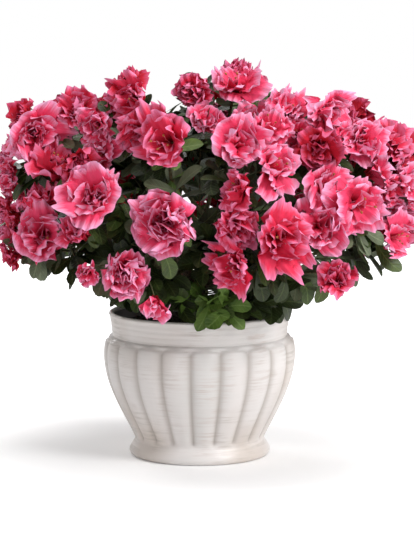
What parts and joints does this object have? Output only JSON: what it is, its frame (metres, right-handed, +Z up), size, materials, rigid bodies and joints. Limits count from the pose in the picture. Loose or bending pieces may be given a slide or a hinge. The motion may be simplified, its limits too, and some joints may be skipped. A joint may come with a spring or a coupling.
{
  "type": "potted azalea shrub",
  "caption": "Rounded azalea shrub in full double pink blossom, on a short branching trunk, in a fluted white ceramic pot.",
  "frame": {"origin": "centre of the pot's flat underside", "axes": "+Z up along the pot's axis, -Y towards the plant's front, +X to the right as seen from the front"},
  "size_m": [0.4384, 0.3996, 0.4116],
  "materials": {
    "glazed_pot": "glossy off-white glaze with faint warm brush streaks",
    "potting_soil": "matt, dark and crumbly",
    "bark": "matt grey-brown bark",
    "blossom": "soft satin petals, rose pink, with green leaves below them",
    "leaf": "dark green leaves with a faint sheen"
  },
  "bodies": {
    "root": {"pot": "glazed_pot", "soil": "potting_soil", "trunk": "bark", "bough_leader": "bark", "bough_left": "bark", "bough_front_left": "bark", "bough_front_right": "bark", "bough_right": "bark", "bough_back_right": "bark", "bough_back_left": "bark", "mass_crown_top": "blossom", "mass_crown_left": "blossom", "mass_crown_right": "blossom", "mass_top_left": "blossom", "mass_top_right": "blossom", "mass_left_shoulder": "blossom", "mass_left_face": "blossom", "mass_left_flank": "blossom", "mass_upper_left_face": "blossom", "mass_low_face": "blossom", "mass_skirt_left": "blossom", "mass_upper_right_face": "blossom", "mass_low_right": "blossom", "mass_right_shoulder": "blossom", "mass_right_face": "blossom", "mass_right_tip": "blossom", "mass_skirt_right": "blossom", "mass_back_right_high": "blossom", "mass_back_right_low": "blossom", "mass_back_low_right": "blossom", "mass_back_high": "blossom", "mass_back_left_high": "blossom", "mass_back_left_low": "blossom", "mass_back_low_left": "blossom", "mass_basal_1": "leaf", "mass_basal_2": "leaf", "mass_basal_3": "leaf", "mass_basal_4": "leaf", "mass_basal_5": "leaf"}
  },
  "joints": []
}
